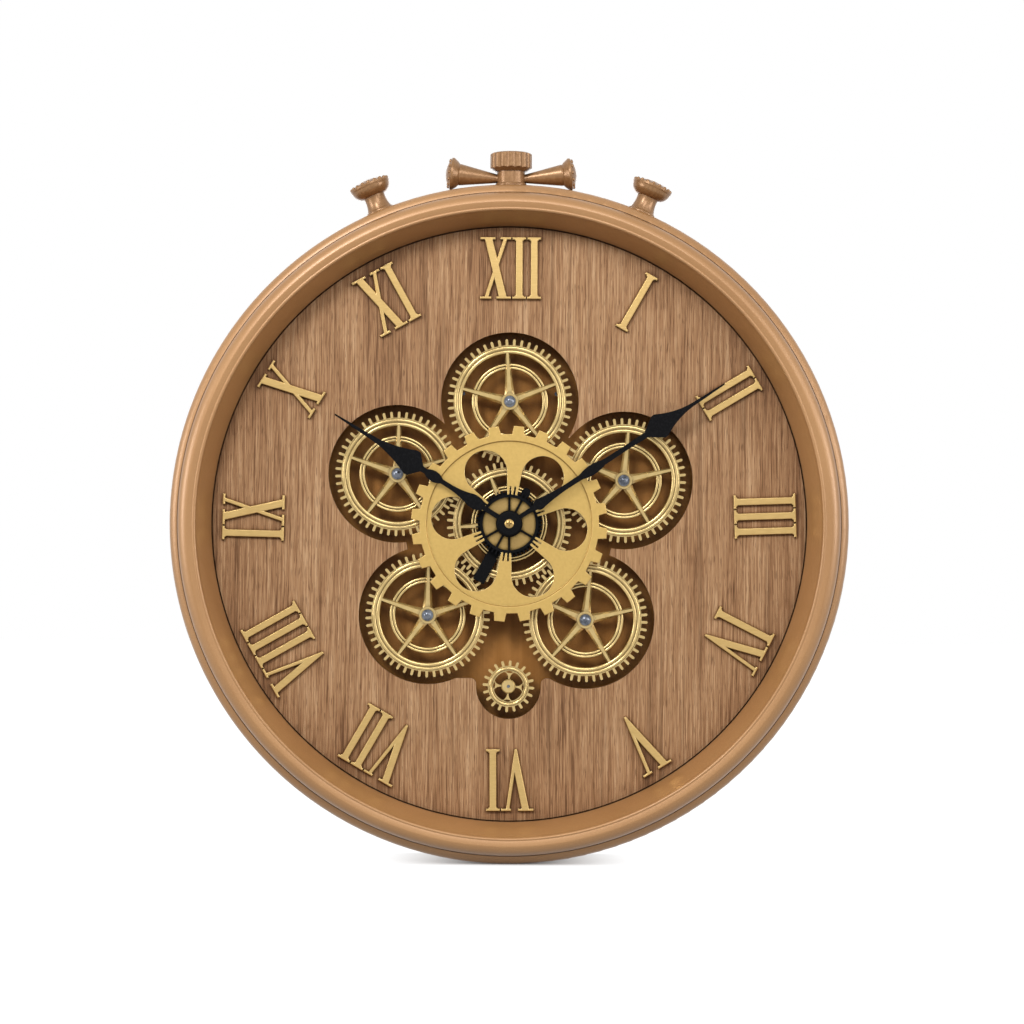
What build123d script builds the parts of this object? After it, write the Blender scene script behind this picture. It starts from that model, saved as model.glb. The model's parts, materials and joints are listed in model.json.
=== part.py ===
from build123d import *
from math import asin, cos, hypot, radians, sin, sqrt
import os

os.makedirs("parts", exist_ok=True)

# The clock is drawn in a face frame: x to the right, y up, z forward from the wall.
# Angles on the face run clockwise from twelve o'clock, in degrees. Lengths are in mm.

# Fits
RUN = 0.06
SLIP = 0.3
LOOSE = 0.5

# Case
CASE_R = 265.0
CASE_WALL = 15.0
CASE_DEPTH = 66.0
REAR_TAPER = 3.0
REAR_TAPER_L = 10.0
SHOULDER_W = 6.6
SHOULDER_DROP = 9.0
SHOULDER_MID = (2.0, 2.6)
SEAT_DEPTH = 1.6
LEDGE_REAR = 34.0
LEDGE_T = 12.0
LEDGE_W = 14.0
BORE_R = CASE_R - CASE_WALL
LEDGE_R = BORE_R - LEDGE_W
LEDGE_FRONT = LEDGE_REAR + LEDGE_T
SEAT_Z = CASE_DEPTH - SEAT_DEPTH

# Bezel
GROOVE_W = 1.0
BEAD_W = 9.4
BEAD_RISE = 13.5
BEAD_FALL = 8.5
LIP_W = 5.4
LIP_DROP = 2.1
WALL_LEAN = 9.5
SHADOW_GAP = 1.5
SHADOW_W = 7.5
GROOVE_OUT = CASE_R - SHOULDER_W
GROOVE_IN = GROOVE_OUT - GROOVE_W
BEAD_IN = GROOVE_IN - BEAD_W
LIP_R = BEAD_IN - LIP_W
WALL_FOOT_R = LIP_R - WALL_LEAN
BEAD_TOP = CASE_DEPTH + BEAD_RISE
LIP_TOP = BEAD_TOP - LIP_DROP

# Panels
PANEL_T = 4.0
DIAL_T = 6.0
PANEL_REAR = LEDGE_REAR - PANEL_T
DIAL_FRONT = LEDGE_FRONT + DIAL_T
DISC_R = BORE_R - LOOSE
DIAL_GROOVE_W = 2.6
DIAL_GROOVE_DEPTH = 4.0

# Gear train
MODULE = 1.92
PLANET_TEETH = 50
PITCH_R = MODULE * PLANET_TEETH / 2
CENTRE_DISTANCE = 2 * PITCH_R
ADDENDUM = 0.9
TIP_R = PITCH_R + ADDENDUM
TOOTH_H = 4.8
TOOTH_W = 2.1
FLANGE_LIFT = 1.0
FLANGE_T = 3.6
BEAD_MARGIN = 0.5
BEAD_WIDTH = 6.1
BEAD_H = 4.2
BEAD_CROWN = 1.2
RING_R = 25.4
RING_WIDTH = 4.6
RING_H = 3.2
RING_CROWN = 1.0
PLANET_HUB_R = 6.5
HUB_WALL = 4.0
STAR_W = 1.5
SPOKES = 5
SPOKE_HALF = (4.2, 3.1, 1.75)
GEAR_STANDOFF = 10.0
GEAR_BACK = LEDGE_REAR + GEAR_STANDOFF
GEAR_T = 6.0
GEAR_FRONT = GEAR_BACK + GEAR_T
PLANET_ANGLES = (0.0, 69.0, 141.3, 221.5, 293.8)
PLANET_SPOKES_AT = (0.0, 7.0, 3.5, 1.5, 4.0)
CENTRE_SPOKE_AT = -22.0
TOOTH_PITCH = 360.0 / PLANET_TEETH

# Small wheel at the foot of the dial
SMALL_TEETH = 20
SMALL_DROP = 127.4
SMALL_TIP_R = 20.3
SMALL_ROOT_R = 16.1
SMALL_PIN_R = 1.2

# Cut-out in the dial
PETAL_GAP = 5.1
PETAL_R = TIP_R + PETAL_GAP
HEART_R = 82.0
LOBE_R = SMALL_TIP_R + PETAL_GAP
EAR_Y = -121.0
EAR_HALF = 44.0
EAR_FILLET = 4.5

# Gear axles
POST_R = 4.5
JOURNAL_R = 3.0
AXLE_SCREW_R = 1.5
WASHER_R = 4.4
WASHER_T = 0.8
SCREW_HEAD_R = 2.85
SCREW_HEAD_T = 2.0
TAIL_R = 2.0

# Centre arbors
ARBOR_R = 2.0
TUBE_R = 3.5
BUSH_R = 6.0
SLEEVE_R = 9.0
NUT_T = 3.2
ARM_T = 2.5
HUB_PLATE_T = 2.0
COG_LIFT = 2.0
COG_T = 4.0
SLEEVE_REAR = LEDGE_REAR + NUT_T + 1.1
HUB_PLATE_REAR = GEAR_FRONT + ARM_T
SLEEVE_FRONT = HUB_PLATE_REAR + HUB_PLATE_T
BUSH_FRONT = SLEEVE_FRONT - LOOSE
COG_BACK = SLEEVE_FRONT + COG_LIFT
COG_FRONT = COG_BACK + COG_T

# Front cog
COG_TEETH = 24
COG_TIP_R = 76.5
COG_ROOT_R = 70.0
COG_STEP_R = 65.0
COG_STEP = 1.2
COG_STEP_LEAN = 1.0
COG_EDGE = 0.4
COG_FACE = COG_FRONT - COG_STEP
COG_TURN = 5.5
COG_HOLE_R = 16.6
COG_HOLE_AT = 44.6
PRONG_R = 22.8
PRONG_SLOT = 1.6
PRONG_PITCH = 7.5
SPIDER_TOOTH_R = 26.2

# Hands
HOUR_AT = 301.8
MINUTE_AT = 56.7
HOUR_T = 2.0
MINUTE_T = 1.5
CAP_T = 3.0
HOUR_LIFT = 3.0
MINUTE_LIFT = 1.5
HOUR_BACK = COG_FRONT + HOUR_LIFT
HOUR_FRONT = HOUR_BACK + HOUR_T
MINUTE_BACK = HOUR_FRONT + MINUTE_LIFT
MINUTE_FRONT = MINUTE_BACK + MINUTE_T
CAP_R = 9.6
CAP_FRONT = MINUTE_FRONT + CAP_T
EYE_R = 8.4

# Numerals
NUM_MARGIN = 8.6
NUM_H = 48.5
NUM_MID_R = WALL_FOOT_R - NUM_MARGIN - NUM_H / 2
NUM_T = 3.0
NUM_GAP = 0.9
NUM_BEVEL = 0.5
# The numerals were set by hand: how far each one, from I to XII, stands clockwise of its hour, in degrees
NUM_OFF = (-0.4, -1.0, -2.0, -3.0, -1.5, -0.4, 0.0, 0.4, 1.2, 1.4, 1.0, 0.0)

# Crown group
SIDE_Z = BEAD_TOP / 2
PUSHER_AT = 22.7
PUSHER_HEAD_R = 16.0
KNOB_R = 16.4
STEM_R = 11.1
STEM_L = 12.5
SPIGOT_R = 3.5
SPIGOT_L = 10.0
HORN_TILT = 6.0
KNOB_H = 15.6
KNOB_LOBES = 16
FLUTE_R = 4.2
NECK_R = 8.4

# Movement, gear motor and battery
MODULE_T = 18.0
MODULE_REAR = PANEL_REAR - MODULE_T
MOVE_SIDE = 56.0
BATTERY_R = 7.1
BATTERY_L = 50.5
NUB_R = 2.75
BATTERY_Z = MODULE_REAR + 0.8 + BATTERY_R
BAY_HALF = BATTERY_R + 0.5
MOTOR_W = 62.0
MOTOR_H = 54.0
EAR_T = 3.0
MOTOR_MID = (0.0, 103.0)

UPRIGHT = Rotation(90, 0, 0)


def save(name, *shapes):
    """Stand the piece upright and write it to its own file."""
    solids = []
    for shape in shapes:
        solids += list((UPRIGHT * shape).solids())
    whole = solids[0] if len(solids) == 1 else Compound(solids)
    export_step(whole, f"parts/{name}.step")


def on_face(r, angle):
    """The point at radius r and a clockwise angle from twelve o'clock."""
    return (r * sin(radians(angle)), r * cos(radians(angle)))


def turned_by(angle):
    """A clockwise turn on the face."""
    return Rotation(0, 0, -angle)


def at(x, y, z=0.0):
    return Location((x, y, z))


def path(start, *steps):
    """Edges from point to point; a step of two points is an arc through the first to the second."""
    edges = []
    here = start
    for step in steps:
        if isinstance(step[0], tuple):
            edges.append(ThreePointArc(here, step[0], step[1]))
            here = step[1]
        else:
            edges.append(Line(here, step))
            here = step
    edges.append(Line(here, start))
    return edges


def dome(r, z, top):
    """A spherical arc from radius r at height z to the axis at the top."""
    rise = top - z
    big = (r**2 + rise**2) / (2 * rise)
    half = asin(r / abs(big)) / 2
    return ((abs(big) * sin(half), top - big + big * cos(half)), (0, top))


def turned(start, *steps):
    """A solid of revolution about z from an outline of (radius, height) points."""
    face = make_face(path(start, *steps))
    return revolve(Plane.XZ * face, Axis.Z)


def rod(r, z0, z1, x=0.0, y=0.0):
    return at(x, y, z0) * extrude(Circle(r), z1 - z0)


def tube(r_out, r_in, z0, z1, x=0.0, y=0.0):
    return at(x, y, z0) * extrude(Circle(r_out) - Circle(r_in), z1 - z0)


def block(w, h, z0, z1, x=0.0, y=0.0):
    return at(x, y, z0) * extrude(Rectangle(w, h), z1 - z0)


def cross_cut(r, z0, z1, x=0.0, y=0.0):
    """A cross recess for a screw head."""
    arm = 0.28 * r
    return block(1.3 * r, arm, z0, z1, x, y) + block(arm, 1.3 * r, z0, z1, x, y)


# Toothed wheels
def peg_outline(teeth, tip_r, root_r, width):
    """The outline of a wheel with straight pegs that end in half rounds, one peg at twelve o'clock."""
    half = width / 2
    low = sqrt(root_r**2 - half**2)
    high = tip_r - half
    edges = []
    pitch = 360.0 / teeth

    def spot(angle, across, up):
        a = radians(angle)
        return (across * cos(a) + up * sin(a), up * cos(a) - across * sin(a))

    for k in range(teeth):
        a = k * pitch
        edges.append(Line(spot(a, -half, low), spot(a, -half, high)))
        edges.append(ThreePointArc(spot(a, -half, high), spot(a, 0, tip_r), spot(a, half, high)))
        edges.append(Line(spot(a, half, high), spot(a, half, low)))
        gap = spot(a + pitch / 2, 0, root_r)
        edges.append(ThreePointArc(spot(a, half, low), gap, spot(a + pitch, -half, low)))
    return edges


def ridged_spoke(stations, base, shoulder, ridge):
    """A tapering spoke along y with a flat top between two bevels."""
    wires = []
    for u, half in stations:
        top = 0.5 * half
        ring = [(-half, base), (half, base), (half, shoulder), (top, ridge), (-top, ridge), (-half, shoulder)]
        wires.append(Wire.make_polygon([(x, u, z) for x, z in ring]))
    return Solid.make_loft(wires, ruled=True)


def double_bead(r_in, r_out, base, shoulder, crown):
    """A ring with two round ridges side by side on its front."""
    mid = (r_in + r_out) / 2
    return turned(
        (r_in, base),
        (r_in, shoulder),
        (((r_in + mid) / 2, shoulder + crown), (mid, shoulder)),
        (((mid + r_out) / 2, shoulder + crown), (r_out, shoulder)),
        (r_out, base),
    )


def wheel(hub_r, bore_r):
    """A fifty-tooth wheel with five ridged spokes, one of them and one tooth at twelve o'clock."""
    root_r = TIP_R - TOOTH_H
    bead_out = root_r - BEAD_MARGIN
    bead_in = bead_out - BEAD_WIDTH
    z = GEAR_BACK
    base = z + FLANGE_LIFT
    flange = extrude(make_face(peg_outline(PLANET_TEETH, TIP_R, root_r, TOOTH_W)), FLANGE_T)
    whole = at(0, 0, base) * flange
    whole -= rod(bead_in + 1.0, z, GEAR_FRONT)
    whole += double_bead(bead_in, bead_out, base, z + BEAD_H, BEAD_CROWN)
    whole += double_bead(RING_R, RING_R + RING_WIDTH, base, z + RING_H, RING_CROWN)
    whole += rod(hub_r, z, GEAR_FRONT)
    whole += at(0, 0, z + 1.5) * extrude(RegularPolygon(hub_r + STAR_W, SPOKES, rotation=90), 4.0)
    reach = bead_in + 1.2
    stations = tuple(zip((hub_r - 3.0, hub_r + 5.5, reach), SPOKE_HALF))
    spoke = ridged_spoke(stations, z + 1.2, z + 3.6, z + 5.2)
    for k in range(SPOKES):
        whole += turned_by(360.0 / SPOKES * k) * spoke
    return whole - rod(bore_r, z - 1, GEAR_FRONT + 1)


def in_mesh(angle, wanted):
    """The turn of a planet at this angle that puts its teeth between the centre wheel's teeth."""
    phase = 2 * angle - CENTRE_SPOKE_AT - TOOTH_PITCH / 2
    return phase + TOOTH_PITCH * round((wanted - phase) / TOOTH_PITCH)


planet = wheel(PLANET_HUB_R, JOURNAL_R + RUN)
for number in range(5):
    angle = PLANET_ANGLES[number]
    turn = in_mesh(angle, PLANET_SPOKES_AT[number])
    x, y = on_face(CENTRE_DISTANCE, angle)
    save(f"planet_wheel_{number + 1}", at(x, y) * turned_by(turn) * planet)

save("centre_wheel", turned_by(CENTRE_SPOKE_AT) * wheel(SLEEVE_R + HUB_WALL, SLEEVE_R))


# Small wheel with four forked spokes
def small_wheel():
    z = GEAR_BACK
    rim_in = SMALL_ROOT_R - 3.2
    bead_out = SMALL_ROOT_R - 0.8
    pegs = make_face(peg_outline(SMALL_TEETH, SMALL_TIP_R, SMALL_ROOT_R, TOOTH_W))
    pegs = at(0, 0, z + 1.2) * extrude(pegs, 3.2)
    pegs -= rod(rim_in + 0.6, z, z + 6)
    bead = turned(
        (rim_in, z + 1.2),
        (rim_in, z + 4.0),
        (((rim_in + bead_out) / 2, z + 5.4), (bead_out, z + 4.0)),
        (bead_out, z + 1.2),
    )
    web = Circle(rim_in + 0.4) - Circle(3.0)
    window = (Circle(rim_in - 1.2) - Circle(5.6)) & (Pos(0, 8.8) * Circle(5.55))
    lens = (Pos(0, 15.6) * Circle(5.2)) & (Pos(0, 6.9) * Circle(5.2))
    for k in range(4):
        web -= Rotation(0, 0, 45 + 90 * k) * window
        web -= Rotation(0, 0, 90 * k) * lens
    web = at(0, 0, z + 1.8) * extrude(web, 2.2)
    hub = turned((0, z), (5.4, z), (5.4, z + 4.6), (4.8, z + 5.2), (0, z + 5.2))
    whole = pegs + bead + web + hub
    return whole - rod(SMALL_PIN_R + RUN, z - 1, z + 8)


save("small_wheel", at(0, -SMALL_DROP) * turned_by(4.0) * small_wheel())


# Axles
AXLE_PLAY = SLIP
POST_TOP = GEAR_BACK - AXLE_PLAY


def axle_screw(z, x, y):
    """A pan screw in the end of an axle, its head on the washer at height z."""
    shoulder = z + SCREW_HEAD_T / 2
    head = turned(
        (0, z),
        (SCREW_HEAD_R, z),
        (SCREW_HEAD_R, shoulder),
        dome(SCREW_HEAD_R, shoulder, z + SCREW_HEAD_T),
    )
    screw = rod(AXLE_SCREW_R, GEAR_BACK, z) + head
    return at(x, y) * (screw - cross_cut(SCREW_HEAD_R, shoulder, z + 3))


posts = []
washers = []
screws = []
for angle in PLANET_ANGLES[1:]:
    x, y = on_face(CENTRE_DISTANCE, angle)
    post = rod(6.5, LEDGE_REAR, LEDGE_REAR + 2, x, y) + rod(POST_R, LEDGE_REAR, POST_TOP, x, y)
    post += rod(JOURNAL_R, POST_TOP, GEAR_FRONT + AXLE_PLAY, x, y)
    post += rod(TAIL_R, PANEL_REAR, LEDGE_REAR, x, y)
    post -= rod(AXLE_SCREW_R, GEAR_BACK, GEAR_FRONT + 1, x, y)
    posts.append(post)
    z = GEAR_FRONT + AXLE_PLAY
    washers.append(tube(WASHER_R, AXLE_SCREW_R, z, z + WASHER_T, x, y))
    screws.append(axle_screw(z + WASHER_T, x, y))
save("planet_posts", *posts)
save("planet_washers", *washers)
save("planet_screws", *screws)

# The top wheel sits on the shaft of the gear motor and drives the rest
x, y = on_face(CENTRE_DISTANCE, PLANET_ANGLES[0])
shaft = rod(JOURNAL_R, PANEL_REAR - 10, GEAR_FRONT, x, y) + rod(POST_R, LEDGE_REAR + 2, GEAR_BACK, x, y)
shaft -= rod(AXLE_SCREW_R, GEAR_BACK, GEAR_FRONT + 1, x, y)
save("drive_shaft", shaft)
z = GEAR_FRONT + WASHER_T
save("drive_washer", tube(WASHER_R, AXLE_SCREW_R, GEAR_FRONT, z, x, y))
save("drive_screw", axle_screw(z, x, y))

small_post = rod(5.0, LEDGE_REAR, LEDGE_REAR + 2, 0, -SMALL_DROP)
small_post += rod(3.0, LEDGE_REAR, POST_TOP, 0, -SMALL_DROP)
small_post += rod(SMALL_PIN_R, POST_TOP, GEAR_BACK + 4.6, 0, -SMALL_DROP)
small_post += rod(TAIL_R, PANEL_REAR, LEDGE_REAR, 0, -SMALL_DROP)
save("small_wheel_post", small_post)


# Case band, bezel and panels
band = turned(
    (CASE_R - REAR_TAPER, 0),
    (CASE_R, REAR_TAPER_L),
    (CASE_R, CASE_DEPTH - SHOULDER_DROP),
    ((CASE_R - SHOULDER_MID[0], CASE_DEPTH - SHOULDER_MID[1]), (GROOVE_OUT, CASE_DEPTH)),
    (GROOVE_OUT, SEAT_Z),
    (BORE_R, SEAT_Z),
    (BORE_R, LEDGE_FRONT),
    (LEDGE_R, LEDGE_FRONT),
    (LEDGE_R, LEDGE_REAR),
    (BORE_R, LEDGE_REAR),
    (BORE_R, 0),
)


def radial(angle, tilt=0.0):
    """A frame on the clock's side with its z along the outward radius at this angle."""
    a = radians(angle + tilt)
    return Plane(origin=(0, 0, SIDE_Z), x_dir=(cos(a), -sin(a), 0), z_dir=(sin(a), cos(a), 0)).location


SCREW_R = 1.75
BACK_SCREW_AT = (BORE_R + LEDGE_R) / 2
PILOT_L = LEDGE_T - 2.0
back_spots = [on_face(BACK_SCREW_AT, 22.5 + 45 * k) for k in range(8)]
for angle in (-PUSHER_AT, 0.0, PUSHER_AT):
    band -= radial(angle) * rod(SPIGOT_R, CASE_R - SPIGOT_L, CASE_R + 2)
for x, y in back_spots:
    band -= rod(SCREW_R, LEDGE_REAR - 1, LEDGE_REAR + PILOT_L, x, y)
save("case_band", band)

bezel = turned(
    (WALL_FOOT_R, DIAL_FRONT + SHADOW_GAP),
    ((WALL_FOOT_R + 3.9, CASE_DEPTH), (LIP_R, LIP_TOP - 1.4)),
    ((LIP_R + 1.0, LIP_TOP), (LIP_R + 2.6, LIP_TOP - 0.6)),
    (BEAD_IN - 0.8, LIP_TOP - 2.0),
    (BEAD_IN, LIP_TOP - 2.0),
    ((BEAD_IN + 0.6, BEAD_TOP - 0.6), (BEAD_IN + 2.0, BEAD_TOP)),
    ((BEAD_IN + 6.3, BEAD_TOP - 2.4), (GROOVE_IN, BEAD_TOP - BEAD_FALL)),
    (GROOVE_IN, SEAT_Z),
    (DISC_R, SEAT_Z),
    (DISC_R, DIAL_FRONT),
    (WALL_FOOT_R + SHADOW_W, DIAL_FRONT),
    (WALL_FOOT_R + SHADOW_W, DIAL_FRONT + SHADOW_GAP),
)
save("bezel", bezel)

opening = Circle(HEART_R)
for angle in PLANET_ANGLES:
    opening += Pos(*on_face(CENTRE_DISTANCE, angle)) * Circle(PETAL_R)
opening += Pos(0, -SMALL_DROP) * Circle(LOBE_R)
opening += Pos(0, EAR_Y / 2 - 20) * Rectangle(2 * EAR_HALF, -EAR_Y - 40)
ears = [v for v in opening.vertices() if abs(v.Y - EAR_Y) < 0.5 and 15 < abs(v.X) < 45]
opening = fillet(ears, EAR_FILLET)
dial = at(0, 0, LEDGE_FRONT) * extrude(Circle(DISC_R) - opening, DIAL_T)
groove_in = WALL_FOOT_R - DIAL_GROOVE_W
dial -= tube(WALL_FOOT_R, groove_in, DIAL_FRONT - DIAL_GROOVE_DEPTH, DIAL_FRONT + 1)
save("dial_plate", dial)

panel = rod(DISC_R, PANEL_REAR, LEDGE_REAR)
panel -= rod(BUSH_R, PANEL_REAR - 1, LEDGE_REAR + 1)
for angle in PLANET_ANGLES[1:]:
    x, y = on_face(CENTRE_DISTANCE, angle)
    panel -= rod(TAIL_R, PANEL_REAR - 1, LEDGE_REAR + 1, x, y)
panel -= rod(TAIL_R, PANEL_REAR - 1, LEDGE_REAR + 1, 0, -SMALL_DROP)
x, y = on_face(CENTRE_DISTANCE, PLANET_ANGLES[0])
panel -= rod(JOURNAL_R + 1.5, PANEL_REAR - 1, LEDGE_REAR + 1, x, y)
MOTOR_EAR = MOTOR_W / 2 + 6
motor_spots = [(MOTOR_MID[0] + side * MOTOR_EAR, MOTOR_MID[1]) for side in (-1, 1)]
for x, y in back_spots + motor_spots:
    panel -= rod(SCREW_R, PANEL_REAR - 1, LEDGE_REAR + 1, x, y)
save("backing_panel", panel)


def wood_screw(x, y, z_under, length):
    """A pan screw driven from the rear, the underside of its head at z_under."""
    head = at(x, y) * turned(
        (0, z_under),
        (3.4, z_under),
        (3.4, z_under - 1.0),
        dome(3.4, z_under - 1.0, z_under - 2.4),
    )
    screw = rod(SCREW_R, z_under, z_under + length, x, y) + head
    return screw - cross_cut(3.2, z_under - 3, z_under - 1.2, x, y)


save("backing_screws", *[wood_screw(x, y, PANEL_REAR, PANEL_T + PILOT_L) for x, y in back_spots])


# Numerals
def stroke_i():
    h, a, b, t, c = NUM_H / 2, 5.4, 2.7, 2.0, 1.3
    right = [
        (a, h),
        (a, h - t),
        (b + c, h - t),
        (b, h - t - c),
        (b, -h + t + c),
        (b + c, -h + t),
        (a, -h + t),
        (a, -h),
    ]
    return right + [(-x, y) for x, y in reversed(right)], 2 * a


def letter(kind):
    """The face of one letter, with its width."""
    h = NUM_H / 2
    t = 2.0
    if kind == "I":
        points, width = stroke_i()
        return make_face(Polyline(*points, close=True)), width
    if kind == "V":
        notch = (2.0, h - 0.6 * NUM_H)
        body = [(-9.6, h), (-3.8, h), notch, (6.3, h), (9.1, h), (2.0, -h), (0.2, -h)]
        face = make_face(Polyline(*body, close=True))
        for left, right in ((-12.7, -0.6), (4.8, 12.7)):
            face += Pos((left + right) / 2, h - t / 2) * Rectangle(right - left, t)
        return face, 25.4
    thick = [(-9.0, h), (-2.8, h), (9.2, -h), (3.0, -h)]
    thin = [(6.4, h), (9.6, h), (-6.0, -h), (-9.2, -h)]
    face = make_face(Polyline(*thick, close=True)) + make_face(Polyline(*thin, close=True))
    for left, right, end in ((-12.2, -0.2, 1), (3.6, 12.2, 1), (-12.2, -3.2, -1), (0.6, 12.0, -1)):
        face += Pos((left + right) / 2, end * (h - t / 2)) * Rectangle(right - left, t)
    return face, 24.4


def numeral(text):
    """Raised letters side by side, centred, with a bevel round the front."""
    faces = [letter(kind) for kind in text]
    total = sum(width for face, width in faces) + NUM_GAP * (len(faces) - 1)
    left = -total / 2
    solids = []
    for face, width in faces:
        solid = extrude(face, NUM_T)
        front = solid.faces().sort_by(Axis.Z)[-1]
        solid = chamfer(front.edges(), NUM_BEVEL)
        solids.append(at(left + width / 2, 0) * solid)
        left += width + NUM_GAP
    return solids


ROMAN = ("I", "II", "III", "IV", "V", "VI", "VII", "VIII", "IX", "X", "XI", "XII")
for hour in range(1, 13):
    angle = 30.0 * hour + NUM_OFF[hour - 1]
    x, y = on_face(NUM_MID_R, angle)
    place = at(x, y, DIAL_FRONT) * turned_by(angle)
    save(f"numeral_{hour}", *[place * solid for solid in numeral(ROMAN[hour - 1])])


# Crown, horns and pushers
CASE_SOLID = rod(CASE_R, -20, 120)
KNOB_Z = CASE_R + STEM_L
COLLAR_R = STEM_R + 1.5
stem = turned(
    (0, CASE_R - 4),
    (COLLAR_R, CASE_R - 4),
    (COLLAR_R, CASE_R + 1.4),
    ((COLLAR_R - 0.2, CASE_R + 2.6), (STEM_R, CASE_R + 3.2)),
    (STEM_R, KNOB_Z),
    (6.0, KNOB_Z),
    (6.0, KNOB_Z + 8),
    (0, KNOB_Z + 8),
)
stem = radial(0) * stem - CASE_SOLID
stem_outside = stem
stem += radial(0) * rod(SPIGOT_R, CASE_R - SPIGOT_L, CASE_R + 2)
HORN_H = CASE_R + 5.9
HORN_PIN_R = 2.0
HORN_DISC_R = 12.8
HORN_NECK = STEM_R + 29.9
for side in (-1, 1):
    a = radians(HORN_TILT)
    pin = Plane(origin=(0, HORN_H, SIDE_Z), x_dir=(0, 0, 1), z_dir=(side * cos(a), sin(a), 0)).location
    stem -= pin * rod(HORN_PIN_R, STEM_R - 6, STEM_R + 8)
save("crown_stem", stem)

KNOB_OUT = KNOB_R + 0.4
knob = turned(
    (0, KNOB_Z),
    (12.2, KNOB_Z),
    (KNOB_OUT, KNOB_Z + 3.0),
    (KNOB_OUT, KNOB_Z + KNOB_H - 3.4),
    ((KNOB_OUT - 0.8, KNOB_Z + KNOB_H - 1.8), (KNOB_R - 2.4, KNOB_Z + KNOB_H - 1.0)),
    dome(KNOB_R - 2.4, KNOB_Z + KNOB_H - 1.0, KNOB_Z + KNOB_H),
)
flutes = Circle(KNOB_R - 1.6)
for k in range(KNOB_LOBES):
    flutes += Rotation(0, 0, 360.0 / KNOB_LOBES * k) * Pos(0, KNOB_R - FLUTE_R) * Circle(FLUTE_R)
knob = knob & (at(0, 0, KNOB_Z - 1) * extrude(flutes, KNOB_H + 2))
knob -= rod(6.0, KNOB_Z - 1, KNOB_Z + 8)
save("crown_knob", radial(0) * knob)

horn = turned(
    (0, STEM_R - 3),
    (3.6, STEM_R - 3),
    (3.6, STEM_R + 1),
    (8.4, HORN_NECK - 1.2),
    (8.4, HORN_NECK),
    (9.6, HORN_NECK + 1.0),
    (HORN_DISC_R, HORN_NECK + 4.8),
    (HORN_DISC_R, HORN_NECK + 6.4),
    dome(HORN_DISC_R, HORN_NECK + 6.4, HORN_NECK + 10.8),
)
horn += rod(HORN_PIN_R, STEM_R - 6, STEM_R)
for k in range(12):
    x, y = on_face(HORN_DISC_R - 2.4, 30 * k)
    horn += at(x, y, HORN_NECK + 7.6) * Sphere(1.4)
for side, name in ((-1, "left_horn"), (1, "right_horn")):
    a = radians(HORN_TILT)
    pin = Plane(origin=(0, HORN_H, SIDE_Z), x_dir=(0, 0, 1), z_dir=(side * cos(a), sin(a), 0)).location
    body = pin * horn - stem_outside
    body += pin * rod(HORN_PIN_R, STEM_R - 6, STEM_R + 2)
    save(name, body)

PUSHER_Z = CASE_R + 24.2
pusher = turned(
    (0, CASE_R - 4),
    (NECK_R + 3.0, CASE_R - 4),
    (NECK_R + 3.0, CASE_R + 1.2),
    ((NECK_R + 2.5, CASE_R + 2.6), (NECK_R + 1.5, CASE_R + 3.2)),
    ((NECK_R + 0.3, CASE_R + 7.0), (NECK_R, PUSHER_Z - 9.8)),
    ((NECK_R + 4.8, PUSHER_Z - 7.2), (PUSHER_HEAD_R - 0.6, PUSHER_Z - 2.6)),
    (PUSHER_HEAD_R, PUSHER_Z - 1.4),
    (PUSHER_HEAD_R, PUSHER_Z),
    dome(PUSHER_HEAD_R, PUSHER_Z, PUSHER_Z + 4.0),
)
for k in range(18):
    x, y = on_face(PUSHER_HEAD_R - 1.4, 20 * k)
    pusher += at(x, y, PUSHER_Z + 0.2) * Sphere(1.6)
for side, name in ((-1, "left_pusher"), (1, "right_pusher")):
    body = radial(side * PUSHER_AT) * pusher - CASE_SOLID
    body += radial(side * PUSHER_AT) * rod(SPIGOT_R, CASE_R - SPIGOT_L, CASE_R + 2)
    save(name, body)


# Centre arbors and the pieces that turn on them
MOVE_FRONT = PANEL_REAR
bush = rod(BUSH_R, MOVE_FRONT, BUSH_FRONT) + rod(9.0, MOVE_FRONT - 2, MOVE_FRONT)
bush -= rod(TUBE_R + RUN, MOVE_FRONT - 3, BUSH_FRONT + 1)
save("centre_bush", bush)
nut = at(0, 0, LEDGE_REAR) * extrude(RegularPolygon(9.4, 6) - Circle(BUSH_R), NUT_T)
save("bush_nut", nut)

sleeve = tube(SLEEVE_R, BUSH_R + RUN, SLEEVE_REAR, SLEEVE_FRONT)
sleeve += tube(12.0, BUSH_R + RUN, SLEEVE_REAR, GEAR_BACK)
save("drive_sleeve", sleeve)

ARM_AT = 28.0
ARM_W = 8.5
arm = Circle(13.0) + Pos(0, -20) * Rectangle(ARM_W, 40) + Pos(0, -40) * Rectangle(ARM_W + 1.0, 22)
arm += Pos(0, 14) * Rectangle(ARM_W - 2.0, 28) + Pos(0, 28) * Circle((ARM_W - 2.0) / 2)
arm -= Circle(SLEEVE_R)
arm = at(0, 0, GEAR_FRONT) * extrude(arm, HUB_PLATE_REAR - GEAR_FRONT)
save("drive_arm", turned_by(ARM_AT) * arm)

save("hub_plate", tube(22.4, SLEEVE_R, HUB_PLATE_REAR, SLEEVE_FRONT))

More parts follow.
